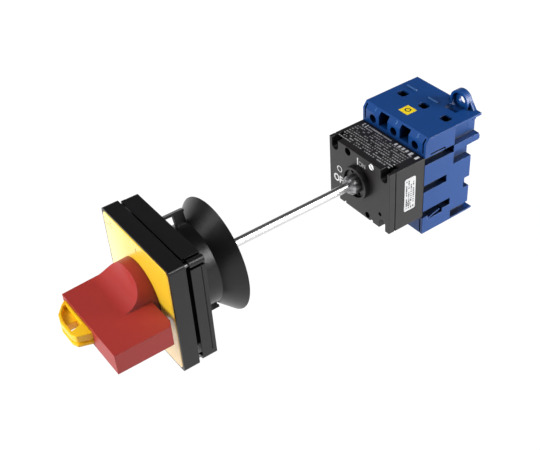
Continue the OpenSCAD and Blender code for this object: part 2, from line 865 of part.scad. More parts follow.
module fixing_screws() {
    color("gray") difference() {
        screw_spots() {
            bar(screw_head_r, neck_y - lug_t, neck_y - 0.2);
            bar(screw_shank_r, frame_y + 2.6, neck_y - lug_t + 0.2);
        }
        screw_spots() span([-2, neck_y - 0.8, -0.3], [2, neck_y + 1, 0.3]);
    }
}

module latch_arm(reach) {
    // Spring arm beside the neck, joined to it at its rear end
    half = 1.5;
    span([-half, neck_y, reach - latch_t], [half, flare_y + 1, reach]);
    span([-half, neck_y + 7.6, neck_r - 3], [half, flare_y + 0.4, reach - 0.2]);
}

module shaft_guide() {
    foot = 18.5;
    throat_y = neck_y + 5.6;
    color("dimgray") {
        rotate([-90, 0, 0]) rotate_extrude() polygon([
            [neck_r, neck_y], [neck_r, flare_y], [rim_r, rim_y], [rim_r - 0.9, rim_y],
            [throat_r, throat_y], [throat_r, throat_y - 3],
            [throat_r + guide_wall, throat_y - 3], [throat_r + guide_wall, throat_y - 0.6],
            [neck_r - guide_wall, flare_y - 1.2], [neck_r - guide_wall, neck_y + guide_wall],
            [foot, neck_y + guide_wall], [foot, neck_y]
        ]);
        difference() {
            union() {
                rotate([0, -22, 0]) latch_arm(upper_latch);
                rotate([0, 148, 0]) latch_arm(lower_latch);
            }
            bar(neck_r - 0.4, neck_y - 1, flare_y + 2);
        }
    }
}

// Handle
module paddle() {
    back = plate_y - paddle_gap;
    translate([0, 0, -paddle_t / 2]) linear_extrude(paddle_t) polygon([
        [-paddle_short, handle_front], [paddle_long, handle_front],
        [paddle_long, back - 1.6], [paddle_long - 3.6, back], [0, back],
        [-paddle_short - paddle_draft, back - 6]
    ]);
}

module grip() {
    scoop_line = plate_y - scoop_y;
    difference() {
        translate([0, scoop_line, 0]) rotate([-90, 0, 0])
            cylinder(r1 = grip_r - grip_draft, r2 = grip_r + grip_draft, h = scoop_y - 0.1);
        for (s = [-1, 1])
            translate([-grip_r - 1, scoop_line, s * (paddle_t / 2 + scoop_r)])
                rotate([0, 90, 0]) cylinder(r = scoop_r, h = 2 * grip_r + 2, $fn = 96);
    }
}

module pin_bore(length) {
    // Bore of the cross pins
    translate([-length / 2, pin_y, 0]) rotate([0, 90, 0]) cylinder(r = 1.02, h = length);
}

module handle() {
    color("firebrick") difference() {
        union() {
            paddle();
            grip();
            bar(stem_r, plate_y - 1, gap_y + 2.4);
        }
        // Pocket for the padlock slide
        span([-slide_left - slide_gap, handle_front - 1, -slide_bottom - slide_gap],
             [slide_right + slide_gap, slide_back + slide_travel + slide_gap, slide_top + slide_gap]);
        // Seat of the coupler, its pins, and the ring's groove
        bar(coupler_r + eps, coupler_front - 0.02, gap_y + 4);
        pin_bore(2 * stem_r + 2);
        difference() {
            bar(stem_r + 1, gap_y + 0.3, gap_y + 1.6);
            bar(stem_r - 0.8, gap_y, gap_y + 2);
        }
    }
}

module coupler() {
    color("silver") difference() {
        bar(coupler_r, coupler_front, coupler_back);
        bar(shaft_d / 2 + shaft_gap, coupler_front + 3, coupler_back + 1);
        translate([0, coupler_back - 2.4, 0]) rotate([-90, 0, 0])
            cylinder(r1 = shaft_d / 2, r2 = coupler_mouth_r, h = 2.5);
        pin_bore(2 * stem_r);
    }
}

module coupler_pin() {
    pin_l = stem_r - shaft_d / 2 - 2.5;
    color("gray") for (s = [-1, 1])
        translate([s * (stem_r - 2.1 - pin_l / 2), pin_y, 0]) rotate([0, 90, 0])
            cylinder(r = 1, h = pin_l, center = true);
}

module retaining_ring() {
    color("silver") difference() {
        bar(stem_r + 1.9, gap_y + 0.4, gap_y + 1.5);
        bar(stem_r - 0.7, gap_y, gap_y + 2);
        span([-4, gap_y, 0], [4, gap_y + 2, stem_r + 3]);
    }
}

// Padlock slide
module slide_outline(inset) {
    nose = handle_front - slide_out + inset;
    polygon([
        [-slide_left + inset, slide_back], [-slide_left + inset, handle_front - 0.2],
        [-slide_left + 2.2 + inset, nose + 5.7], [-slide_left + 7.4, nose + 1.5],
        [-slide_left + 12.8, nose], [slide_right - 5.7, nose],
        [slide_right - 2.4 - inset, nose + 1.4], [slide_right - inset, handle_front - 0.3],
        [slide_right - inset, slide_back]
    ]);
}

module padlock_window() {
    near = handle_front - slide_bar;
    far = handle_front - slide_out + slide_rim;
    left = -slide_left + 3.2;
    polygon([
        [left, near], [left + 0.2, near - 1.2], [left + 4.6, far + 1.4], [left + 9.8, far],
        [left + window_w + 1.6, far], [left + window_w, near]
    ]);
}

module window_floor() {
    // The window's left part is shallow, and the shackle goes through its right part
    translate([-slide_left, handle_front - slide_out]) square([slide_left - 1, slide_out]);
}

module padlock_slide() {
    groove_low = -2.6;
    groove_top = -1;
    floor_z = 0.2;
    color("gold") difference() {
        union() {
            translate([0, 0, groove_top]) linear_extrude(slide_top - groove_top) slide_outline(0);
            translate([0, 0, groove_low - 0.2])
                linear_extrude(groove_top - groove_low + 0.4) slide_outline(0.9);
            translate([0, 0, -slide_bottom]) linear_extrude(slide_bottom + groove_low) slide_outline(0);
        }
        translate([0, 0, floor_z]) linear_extrude(slide_top - floor_z + 1) padlock_window();
        translate([0, 0, -slide_bottom - 1]) linear_extrude(slide_bottom + slide_top + 2)
            difference() {
                padlock_window();
                window_floor();
            }
    }
}

contact_housing();
rear_base();
line_contacts();
load_contacts();
line_clamps();
load_clamps();
line_screws();
load_screws();
mechanism_box();
mechanism_cover();
cover_screw();
detent_springs();
box_screws();
type_label();
warning_sticker();
rotor();
shaft();
hub_screw();
contact_carriage();
contact_bridges();
bridge_springs();
front_plate();
front_frame();
door_seal();
rear_frame();
fixing_screws();
shaft_guide();
handle();
coupler();
coupler_pin();
retaining_ring();
padlock_slide();
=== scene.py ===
import math

import bmesh
import bpy
from mathutils import Matrix, Vector
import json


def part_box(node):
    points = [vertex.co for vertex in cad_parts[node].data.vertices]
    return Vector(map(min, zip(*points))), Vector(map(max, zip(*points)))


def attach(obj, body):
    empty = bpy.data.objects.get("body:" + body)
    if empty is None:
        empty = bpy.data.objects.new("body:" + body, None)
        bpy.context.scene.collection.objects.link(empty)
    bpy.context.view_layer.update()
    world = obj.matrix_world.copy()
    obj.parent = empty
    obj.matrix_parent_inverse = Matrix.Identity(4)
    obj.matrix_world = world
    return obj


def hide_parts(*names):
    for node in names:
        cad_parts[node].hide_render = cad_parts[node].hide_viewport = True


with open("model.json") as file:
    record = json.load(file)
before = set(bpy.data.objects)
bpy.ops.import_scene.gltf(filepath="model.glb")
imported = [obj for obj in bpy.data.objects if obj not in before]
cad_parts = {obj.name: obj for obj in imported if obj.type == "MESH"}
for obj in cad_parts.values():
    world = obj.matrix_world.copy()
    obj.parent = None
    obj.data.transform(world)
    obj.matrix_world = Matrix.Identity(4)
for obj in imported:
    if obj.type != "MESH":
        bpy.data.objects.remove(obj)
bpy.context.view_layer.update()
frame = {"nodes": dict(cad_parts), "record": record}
mm = 0.001  # sizes below are written in millimetres

bodyOf = {node: body for body, nodes in frame["record"]["behaviour"]["bodies"].items() for node in nodes}
slotOf = {part["node"]: part["material_slot"] for part in frame["record"]["subparts"]}


def boxOf(nodeName):
    # The low and the high corner of a node, in millimetres
    low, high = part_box(nodeName)
    return Vector(low) / mm, Vector(high) / mm


# Shader maths: a wire is one output socket, and arithmetic on it adds Math nodes

class Wire:
    def __init__(self, finish, socket):
        self.finish = finish
        self.socket = socket

    def math(self, operation, first, second):
        return self.finish.node("Math", {"operation": operation}, {0: first, 1: second})

    def __add__(self, other):
        return self.math("ADD", self, other)

    def __radd__(self, other):
        return self.math("ADD", other, self)

    def __sub__(self, other):
        return self.math("SUBTRACT", self, other)

    def __rsub__(self, other):
        return self.math("SUBTRACT", other, self)

    def __mul__(self, other):
        return self.math("MULTIPLY", self, other)

    def __rmul__(self, other):
        return self.math("MULTIPLY", other, self)

    def __gt__(self, other):
        return self.math("GREATER_THAN", self, other)

    def __lt__(self, other):
        return self.math("LESS_THAN", self, other)

    def __abs__(self):
        return self.finish.node("Math", {"operation": "ABSOLUTE"}, {0: self})


class Finish:
    # A material, or the world, built node by node
    def __init__(self, name, tree=None):
        if tree is None:
            self.material = bpy.data.materials.new(name)
            self.material.use_nodes = True
            tree = self.material.node_tree
        self.tree = tree
        self.tree.nodes.clear()

    def node(self, kind, settings=(), sockets=(), out=0):
        made = self.tree.nodes.new("ShaderNode" + kind)
        for key, value in dict(settings).items():
            setattr(made, key, value)
        for key, value in dict(sockets).items():
            self.plug(made.inputs[key], value)
        return Wire(self, made.outputs[out])

    def plug(self, socket, value):
        if isinstance(value, Wire):
            self.tree.links.new(value.socket, socket)
        elif isinstance(value, tuple) and len(value) == 3 and socket.type == "RGBA":
            socket.default_value = (*value, 1.0)
        else:
            socket.default_value = value

    def larger(self, first, second):
        return self.node("Math", {"operation": "MAXIMUM"}, {0: first, 1: second})

    def place(self):
        return self.node("TexCoord", out="Object")

    def along(self, axis):
        # The object's own coordinate along x, y or z, in millimetres
        return self.node("SeparateXYZ", {}, {0: self.place()}, out=axis) * (1 / mm)

    def step(self, value, low, high):
        # Rises softly from 0 at low to 1 at high
        return self.node("MapRange", {"interpolation_type": "SMOOTHSTEP"}, {
            "Value": value, "From Min": low, "From Max": high})

    def noise(self, scale, detail=2.0, rough=0.5, stretch=(1, 1, 1)):
        spot = self.node("Mapping", {}, {"Vector": self.place(), "Scale": stretch})
        return self.node("TexNoise", {}, {"Vector": spot, "Scale": scale, "Detail": detail, "Roughness": rough})

    def blend(self, factor, first, second):
        return self.node("Mix", {"data_type": "RGBA"}, {0: factor, 6: first, 7: second}, out=2)

    def openness(self, reach):
        # How open a point is: 0 far inside a recess, 1 on an open face; it sets the painted shade in hollows
        return self.node("AmbientOcclusion", {"samples": 8}, {"Distance": reach * mm}, out="AO")

    def bump(self, height, depth, edge):
        # Fine relief, on edges that look rounded
        rounded = self.node("Bevel", {"samples": 6}, {"Radius": edge * mm})
        return self.node("Bump", {}, {
            "Height": height, "Distance": depth * mm, "Strength": 1.0, "Normal": rounded})

    def ray(self, kind):
        # 1 on rays of this kind: Camera, Glossy or Transmission
        return self.node("LightPath", out=f"Is {kind} Ray")

    def close(self, **surface):
        names = {
            "colour": "Base Color", "rough": "Roughness", "metal": "Metallic", "normal": "Normal",
            "coat": "Coat Weight", "coatRough": "Coat Roughness", "spec": "Specular IOR Level",
        }
        sockets = {names[key]: value for key, value in surface.items()}
        self.output(self.node("BsdfPrincipled", {}, sockets))
        return self.material

    def output(self, shader, kind="Material"):
        end = self.tree.nodes.new("ShaderNodeOutput" + kind)
        self.tree.links.new(shader.socket, end.inputs["Surface"])


def shade(colour, factor):
    return tuple(min(1.0, part * factor) for part in colour)


def moulded(name, look):
    # Injection-moulded plastic: faint flow marks, a fine eroded skin and rounded edges, with painted shade
    # darkening its hollows, corners and gaps when the look asks for it
    finish = Finish(name)
    flow = finish.noise(look["flowScale"], detail=3, rough=0.6)
    skin = finish.noise(look["grainScale"], detail=4, rough=0.65)
    colour = finish.blend(flow, shade(look["colour"], 1 - look["vary"]), shade(look["colour"], 1 + look["vary"]))
    # Painted shade: the colour is darkened where ambient occlusion finds a hollow, a corner or a gap between parts
    if "hollowShade" in look:
        hollowShade = look["hollowShade"]
        lit = finish.step(finish.openness(hollowShade["reach"]), hollowShade["from"], hollowShade["to"])
        colour = finish.blend(lit, shade(look["colour"], hollowShade["dark"]), colour)
    # The look's marks paint highlights and reflections into the colour, and the plate's groove line
    if "sheenAndMarks" in look:
        colour = look["sheenAndMarks"](finish, colour)
    rough = look["rough"] + (flow - 0.5) * look["roughVary"] + (skin - 0.5) * look["roughVary"]
    normal = finish.bump(skin, look["grainDepth"], look["edge"])
    extra = {key: look[key] for key in ("coat", "coatRough", "spec") if key in look}
    return finish.close(colour=colour, rough=rough, normal=normal, **extra)


clouding = {"dark": 0.9, "light": 1.06, "detail": 2}  # how the colour of metal drifts


def metal(name, look):
    # Drawn, plated or stamped metal with fine lines along one direction
    finish = Finish(name)
    lines = finish.noise(look["lineScale"], detail=3, rough=0.6, stretch=look["stretch"])
    cloud = finish.noise(look["cloudScale"], detail=clouding["detail"])
    colour = finish.blend(cloud, shade(look["colour"], clouding["dark"]), shade(look["colour"], clouding["light"]))
    rough = look["rough"] + (lines - 0.5) * look["roughVary"]
    normal = finish.bump(lines, look["lineDepth"], look["edge"])
    return finish.close(colour=colour, metal=1.0, rough=rough, normal=normal)


# The plate's painted highlight and painted reflection, and its groove line
plateSheenAndGrooveTints = {
    "left": {"tint": (0.98, 0.93, 0.40), "share": 0.85, "lean": 0.3, "from": -34, "to": 6},
    "low": {"tint": (1.0, 0.72, 0.34), "share": 0.9, "lean": 1.2, "from": 30, "to": 44},
    "groove": {"tint": (0.35, 0.17, 0.02), "share": 0.55, "at": 31.0, "half": 0.16},
}


def plateSheenAndGroove(finish, colour):
    # Painted glare: paler towards the left. Painted reflection: a pale peach towards the lower right corner. Also
    # a thin groove line just inside the edge
    left, low, groove = (plateSheenAndGrooveTints[key] for key in ("left", "low", "groove"))
    across, up = finish.along("X"), finish.along("Z")
    leftGlare = 1 - finish.step(across + up * left["lean"], left["from"], left["to"])
    lowReflection = finish.step(across - up * low["lean"], low["from"], low["to"])
    inGroove = abs(finish.larger(abs(across), abs(up)) - groove["at"]) < groove["half"]
    # Painted glare on the left, then painted reflection at the lower right
    colour = finish.blend(leftGlare * left["share"], colour, left["tint"])
    colour = finish.blend(lowReflection * low["share"], colour, low["tint"])
    return finish.blend(inGroove * groove["share"], colour, groove["tint"])


# Painted highlight on the ribs on top of the block
ribHighlightTint = {"tint": (0.05, 0.14, 0.36), "share": 0.7, "above": 30.0, "before": -10}


def ribHighlight(finish, colour):
    # The short ribs on top of the block are painted paler, a painted highlight where they catch the light
    ribHighlightMask = (finish.along("Z") > ribHighlightTint["above"]) * (finish.along("Y") < ribHighlightTint["before"])
    return finish.blend(ribHighlightMask * ribHighlightTint["share"], colour, ribHighlightTint["tint"])


def hubbed(name, look):
    # Black rotor whose hub in front of the cover is a bright sleeve, streaked along the shaft, and painted dark
    # towards the cover as painted shade
    finish = Finish(name)
    x, y, z = (finish.along(axis) for axis in "XYZ")
    sleeve = (y < look["hubFrom"]) * (x * x + z * z < look["hubRadius"] ** 2)
    streaks = finish.noise(look["streakScale"], detail=2, rough=0.6, stretch=look["streakStretch"])
    skin = finish.noise(look["grainScale"], detail=4, rough=0.65)
    streaked = finish.step(streaks, look["streakFrom"], look["streakTo"])
    bright = finish.blend(streaked, look["sleeveDark"], look["sleeveLight"])
    # Painted shade: the sleeve fades to dark towards the cover
    bright = finish.blend(finish.step(y, look["shadeFrom"], look["shadeTo"]), bright, look["sleeveShade"])
    colour = finish.blend(sleeve, look["colour"], bright)
    rough = look["rough"] + (streaks - 0.5) * look["roughVary"]
    normal = finish.bump(skin, look["grainDepth"], look["edge"])
    return finish.close(colour=colour, metal=sleeve * look["sleeveMetal"], rough=rough, normal=normal)


# Painted shade in recesses, corners and between parts, for the moulded finishes that use it
recessShade = {"reach": 9, "from": 0.3, "to": 0.9, "dark": 0.1}  # how hollows darken
blue = {
    "colour": (0.003, 0.050, 0.216), "vary": 0.06, "flowScale": 60, "grainScale": 2600, "grainDepth": 0.02,
    "rough": 0.4, "roughVary": 0.1, "edge": 0.3, "spec": 0.45, "hollowShade": recessShade, "sheenAndMarks": ribHighlight}

finishes = {
    "blue_plastic": moulded("bluePlastic", blue),
    "box_plastic": moulded("boxPlastic", {
        "colour": (0.014, 0.012, 0.013), "vary": 0.08, "flowScale": 70, "grainScale": 2600,
        "grainDepth": 0.03, "rough": 0.42, "roughVary": 0.12, "edge": 0.25, "hollowShade": recessShade}),
    "rotor_plastic": hubbed("rotorPlastic", {
        "colour": (0.02, 0.02, 0.022), "grainScale": 2600, "grainDepth": 0.02, "rough": 0.36,
        "roughVary": 0.2, "edge": 0.2, "hubFrom": -66.6, "hubRadius": 5.9, "sleeveMetal": 0.8,
        "sleeveDark": (0.10, 0.10, 0.105), "sleeveLight": (0.5, 0.5, 0.52),
        "streakScale": 500, "streakStretch": (1, 0.02, 1), "streakFrom": 0.32, "streakTo": 0.7,
        "sleeveShade": (0.03, 0.03, 0.032), "shadeFrom": -73.1, "shadeTo": -67.6}),
    "black_plastic": moulded("blackPlastic", {
        "colour": (0.009, 0.0085, 0.0095), "vary": 0.08, "flowScale": 50, "grainScale": 2400,
        "grainDepth": 0.04, "rough": 0.31, "roughVary": 0.12, "edge": 0.3, "spec": 0.42, "hollowShade": recessShade}),
    "black_rubber": moulded("sealRubber", {
        "colour": (0.006, 0.006, 0.006), "vary": 0.1, "flowScale": 50, "grainScale": 1800,
        "grainDepth": 0.03, "rough": 0.7, "roughVary": 0.1, "edge": 0.3}),
    "red_plastic": moulded("redPlastic", {
        "colour": (0.36, 0.027, 0.023), "vary": 0.04, "flowScale": 40, "grainScale": 2600,
        "grainDepth": 0.03, "rough": 0.45, "roughVary": 0.1, "edge": 0.5,
        # Painted shade: the handle is painted darker in its hollows and towards the plate
        "hollowShade": {"reach": 14, "from": 0.25, "to": 0.9, "dark": 0.3}}),
    "yellow_plate": moulded("yellowPlate", {
        "colour": (0.97, 0.62, 0.035), "vary": 0.02, "flowScale": 30, "grainScale": 2600,
        "grainDepth": 0.008, "rough": 0.34, "roughVary": 0.08, "edge": 0.25, "sheenAndMarks": plateSheenAndGroove,
        "coat": 0.8, "coatRough": 0.1}),
    "yellow_plastic": moulded("yellowPlastic", {
        "colour": (0.94, 0.55, 0.012), "vary": 0.03, "flowScale": 40, "grainScale": 2600,
        "grainDepth": 0.01, "rough": 0.28, "roughVary": 0.08, "edge": 0.3}),
    "white_label": moulded("whiteLabel", {
        "colour": (0.63, 0.63, 0.64), "vary": 0.02, "flowScale": 40, "grainScale": 2600,
        "grainDepth": 0.004, "rough": 0.4, "roughVary": 0.05, "edge": 0.05}),
    "yellow_label": moulded("yellowLabel", {
        "colour": (0.88, 0.66, 0.01), "vary": 0.02, "flowScale": 40, "grainScale": 2600,
        "grainDepth": 0.004, "rough": 0.4, "roughVary": 0.05, "edge": 0.05}),
    "bright_steel": metal("brightSteel", {
        "colour": (0.72, 0.72, 0.73), "rough": 0.34, "roughVary": 0.16, "lineScale": 900,
        "stretch": (1, 0.04, 1), "cloudScale": 40, "lineDepth": 0.012, "edge": 0.1}),
    "zinc_steel": metal("zincSteel", {
        "colour": (0.68, 0.68, 0.66), "rough": 0.34, "roughVary": 0.15, "lineScale": 700,
        "stretch": (1, 1, 1), "cloudScale": 200, "lineDepth": 0.01, "edge": 0.15}),
    "spring_steel": metal("springSteel", {
        "colour": (0.55, 0.55, 0.56), "rough": 0.28, "roughVary": 0.1, "lineScale": 900,
        "stretch": (0.1, 1, 1), "cloudScale": 200, "lineDepth": 0.005, "edge": 0.1}),
    "dark_steel": metal("darkSteel", {
        "colour": (0.2, 0.2, 0.205), "rough": 0.34, "roughVary": 0.15, "lineScale": 900,
        "stretch": (1, 0.1, 1), "cloudScale": 200, "lineDepth": 0.01, "edge": 0.15}),
    "copper": metal("contactCopper", {
        "colour": (0.8, 0.46, 0.26), "rough": 0.3, "roughVary": 0.15, "lineScale": 700,
        "stretch": (1, 1, 0.1), "cloudScale": 150, "lineDepth": 0.01, "edge": 0.15}),
}

# Two nodes look a little different from the rest of their slot
ownFinishes = {
    "cover_screw": moulded("coverScrew", {
        "colour": (0.88, 0.88, 0.9), "vary": 0.04, "flowScale": 200, "grainScale": 2600,
        "grainDepth": 0.01, "rough": 0.3, "roughVary": 0.1, "edge": 0.1,
        # Painted shade in the screw's slot
        "hollowShade": {"reach": 0.9, "from": 0.45, "to": 0.8, "dark": 0.04}}),
    # The rear base's painted shade reaches less far, so its ear stays lighter
    "rear_base": moulded("blueBase", {**blue, "hollowShade": {**recessShade, "reach": 4}}),
}


def finishOf(nodeName):
    return ownFinishes.get(nodeName, finishes[slotOf[nodeName]])


for nodeName, node in frame["nodes"].items():
    node.data.materials.clear()
    node.data.materials.append(finishOf(nodeName))
print("materials done")


# Making pieces

def addPiece(name, mesh, body, slot, finish=None):
    mesh.materials.clear()
    mesh.materials.append(finish or finishes[slot])
    piece = bpy.data.objects.new(name, mesh)
    bpy.context.scene.collection.objects.link(piece)
    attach(piece, body)
    return piece


def soften(nodeName, look):
    # A copy of a moulded node with its outer edges rounded off, which stands for it
    shape = bmesh.new()
    shape.from_mesh(frame["nodes"][nodeName].data)
    bmesh.ops.remove_doubles(shape, verts=shape.verts, dist=look["weld"] * mm)
    flat, sharp, crease = (math.radians(look[key]) for key in ("flat", "sharp", "crease"))
    bmesh.ops.dissolve_limit(shape, angle_limit=flat, verts=shape.verts, edges=shape.edges)
    edges = [edge for edge in shape.edges
             if len(edge.link_faces) == 2 and edge.is_convex and edge.calc_face_angle() > sharp
             and edge.calc_length() > look["shortest"] * mm]
    bmesh.ops.bevel(shape, geom=edges, offset=look["radius"] * mm, offset_type="OFFSET",
                    segments=look["segments"], profile=0.5, affect="EDGES", clamp_overlap=True)
    bmesh.ops.recalc_face_normals(shape, faces=shape.faces)
    for face in shape.faces:
        face.smooth = True
    for edge in shape.edges:
        if len(edge.link_faces) == 2 and edge.calc_face_angle() > crease:
            edge.smooth = False
    mesh = bpy.data.meshes.new(look["name"])
    shape.to_mesh(mesh)
    shape.free()
    piece = addPiece(look["name"], mesh, bodyOf[nodeName], slotOf[nodeName], finishOf(nodeName))
    piece.modifiers.new("evenShading", "WEIGHTED_NORMAL").keep_sharp = True
    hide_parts(nodeName)


# Lengths in millimetres and angles in degrees. Edges that turn by more than sharp are rounded.
moulding = {
    "radius": 0.35, "segments": 2, "sharp": 35, "shortest": 0.05,
    "weld": 0.002, "flat": 0.2, "crease": 50}
softened = {
    "handle": {"name": "redHandle", "radius": 0.9, "segments": 3},
    "padlock_slide": {"name": "yellowSlide", "radius": 0.4},
    "front_plate": {"name": "yellowFrontPlate", "radius": 0.4},
    "front_frame": {"name": "blackFrontFrame", "radius": 0.25},
    "rear_frame": {"name": "blackRearFrame", "radius": 0.4},
    "mechanism_cover": {"name": "blackCover", "radius": 0.25},
    "mechanism_box": {"name": "blackBox", "radius": 0.3},
    "contact_housing": {"name": "blueHousing", "radius": 0.3},
    "rotor": {"name": "blackRotor", "radius": 0.6, "segments": 3},
    "rear_base": {"name": "blueRearBase", "radius": 0.3},
}
for nodeName, look in softened.items():
    soften(nodeName, {**moulding, **look})
print("rounded pieces done")


# Print: words and rows of dashes laid on a face

inkWear = {"scale": 1800, "dark": 0.8, "rough": 0.5, "roughVary": 0.2}


def inkFinish(name, colour):
    finish = Finish(name)
    worn = finish.noise(inkWear["scale"], detail=3)
    tint = finish.blend(worn, shade(colour, inkWear["dark"]), colour)
    return finish.close(colour=tint, rough=inkWear["rough"] + (worn - 0.5) * inkWear["roughVary"])


inks = {
    "white": inkFinish("whiteInk", (0.75, 0.75, 0.75)),
    "grey": inkFinish("greyInk", (0.40, 0.40, 0.41)),
    "paleGrey": inkFinish("paleGreyInk", (0.30, 0.28, 0.20)),
    "dark": inkFinish("darkInk", (0.03, 0.03, 0.03)),
    "lightBlue": inkFinish("lightBlueInk", (0.10, 0.26, 0.55)),
}
film = 0.02  # how far print stands off its face
capShare = 0.73  # how much of the font's size a capital fills


def facing(corner, right, up):
    # The place of a flat piece drawn in x and y, laid on a face
    across = Vector(right).normalized()
    rise = Vector(up).normalized()
    axes = Matrix((across, rise, across.cross(rise))).transposed().to_4x4()
    return Matrix.Translation(Vector(corner) * mm) @ axes


def printWords(name, words, look):
    curve = bpy.data.curves.new(name, "FONT")
    curve.body = words
    curve.size = look["height"] * mm / capShare
    curve.align_x = "CENTER"
    curve.align_y = "CENTER"
    curve.offset = look.get("weight", 0) * mm
    curve.extrude = film * mm
    draft = bpy.data.objects.new(name, curve)
    mesh = bpy.data.meshes.new_from_object(draft)
    bpy.data.objects.remove(draft)
    mesh.transform(Matrix.Diagonal((look.get("stretch", 1), 1, 1, 1)))
    mesh.transform(facing(look["at"], look["right"], look["up"]))
    addPiece(name, mesh, look["body"], look["slot"], inks[look["ink"]])


class Tree:
    # A Geometry Nodes tree with named number inputs
    def __init__(self, name, inputs):
        self.group = bpy.data.node_groups.new(name, "GeometryNodeTree")
        self.group.interface.new_socket("Geometry", in_out="OUTPUT", socket_type="NodeSocketGeometry")
        for title, start in inputs.items():
            kind = "NodeSocketInt" if isinstance(start, int) else "NodeSocketFloat"
            self.group.interface.new_socket(title, in_out="INPUT", socket_type=kind).default_value = start
        self.inputs = self.group.nodes.new("NodeGroupInput").outputs

    def add(self, kind, settings=(), sockets=()):
        node = self.group.nodes.new(kind)
        for key, value in dict(settings).items():
            setattr(node, key, value)
        live = [socket for socket in node.inputs if socket.enabled]
        for key, value in dict(sockets).items():
            socket = live[key] if isinstance(key, int) else next(each for each in live if each.name == key)
            if isinstance(value, bpy.types.NodeSocket):
                self.group.links.new(value, socket)
            else:
                socket.default_value = value
        return next(socket for socket in node.outputs if socket.enabled)

    def math(self, operation, first, second):
        return self.add("ShaderNodeMath", {"operation": operation}, {0: first, 1: second})

    def vector(self, x=0.0, y=0.0, z=0.0):
        return self.add("ShaderNodeCombineXYZ", {}, {0: x, 1: y, 2: z})

    def finish(self, instances, material):
        plain = self.add("GeometryNodeRealizeInstances", {}, {0: instances})
        coloured = self.add("GeometryNodeSetMaterial", {}, {"Geometry": plain, "Material": material})
        end = self.group.nodes.new("NodeGroupOutput")
        self.group.links.new(coloured, end.inputs[0])

    def mesh(self, name, values, place):
        # Runs the tree with these values and keeps the result as a plain mesh
        draft = bpy.data.objects.new(name, bpy.data.meshes.new(name))
        bpy.context.scene.collection.objects.link(draft)
        modifier = draft.modifiers.new(name, "NODES")
        modifier.node_group = self.group
        for item in self.group.interface.items_tree:
            if item.in_out == "INPUT" and item.name in values:
                modifier[item.identifier] = values[item.name]
        bpy.context.view_layer.update()
        ready = draft.evaluated_get(bpy.context.evaluated_depsgraph_get())
        mesh = bpy.data.meshes.new_from_object(ready)
        bpy.data.objects.remove(draft)
        mesh.transform(place)
        return mesh


def dashTree(material):
    # Rows of dashes of random length, as small print looks from a step away
    tree = Tree("dashRows", {
        "Rows": 5, "Columns": 12, "Width": 0.04, "Height": 0.01, "Dash Height": 0.0006,
        "Shortest": 0.3, "Longest": 1.1, "Filled": 0.85, "Seed": 3})
    width, columns, seed = (tree.inputs[key] for key in ("Width", "Columns", "Seed"))
    grid = tree.add("GeometryNodeMeshGrid", {}, {
        "Size X": width, "Size Y": tree.inputs["Height"],
        "Vertices X": columns, "Vertices Y": tree.inputs["Rows"]})
    dash = tree.add("GeometryNodeMeshGrid", {}, {
        "Size X": 1.0, "Size Y": 1.0, "Vertices X": 2, "Vertices Y": 2})
    length = tree.add("FunctionNodeRandomValue", {"data_type": "FLOAT"}, {
        "Min": tree.inputs["Shortest"], "Max": tree.inputs["Longest"], "Seed": seed})
    kept = tree.add("FunctionNodeRandomValue", {"data_type": "BOOLEAN"}, {
        "Probability": tree.inputs["Filled"], "Seed": seed})
    pitch = tree.math("DIVIDE", width, columns)
    scale = tree.vector(tree.math("MULTIPLY", length, pitch), tree.inputs["Dash Height"], 1.0)
    rows = tree.add("GeometryNodeInstanceOnPoints", {}, {
        "Points": grid, "Instance": dash, "Selection": kept, "Scale": scale})
    tree.finish(rows, material)
    return tree


def printRows(name, look):
    place = facing(look["at"], look["right"], look["up"])
    mesh = dashTree(inks[look["ink"]]).mesh(name, look["rows"], place)
    addPiece(name, mesh, look["body"], look["slot"], inks[look["ink"]])


coverThick = 4  # the cover without its collar
coverFace = boxOf("mechanism_cover")[1].y - coverThick - film
onCover = {"right": (1, 0, 0), "up": (0, 0, 1), "body": "base", "slot": "box_plastic", "ink": "white"}
coverPrint = {
    "markOn": {"words": "I", "height": 4.7, "at": (-1.0, coverFace, 12.9), "weight": 0.08},
    "wordOn": {"words": "ON", "height": 3.0, "at": (2.8, coverFace, 12.4), "stretch": 0.9, "weight": 0.05,
               "ink": "grey"},
    "markOff": {"words": "O", "height": 4.4, "at": (-17.1, coverFace, -1.1)},
    "wordOff": {"words": "OFF", "height": 4.8, "at": (-17.2, coverFace, -8.3), "stretch": 0.9, "weight": 0.2},
}
for name, look in coverPrint.items():
    printWords(name, look["words"], {**onCover, **look})

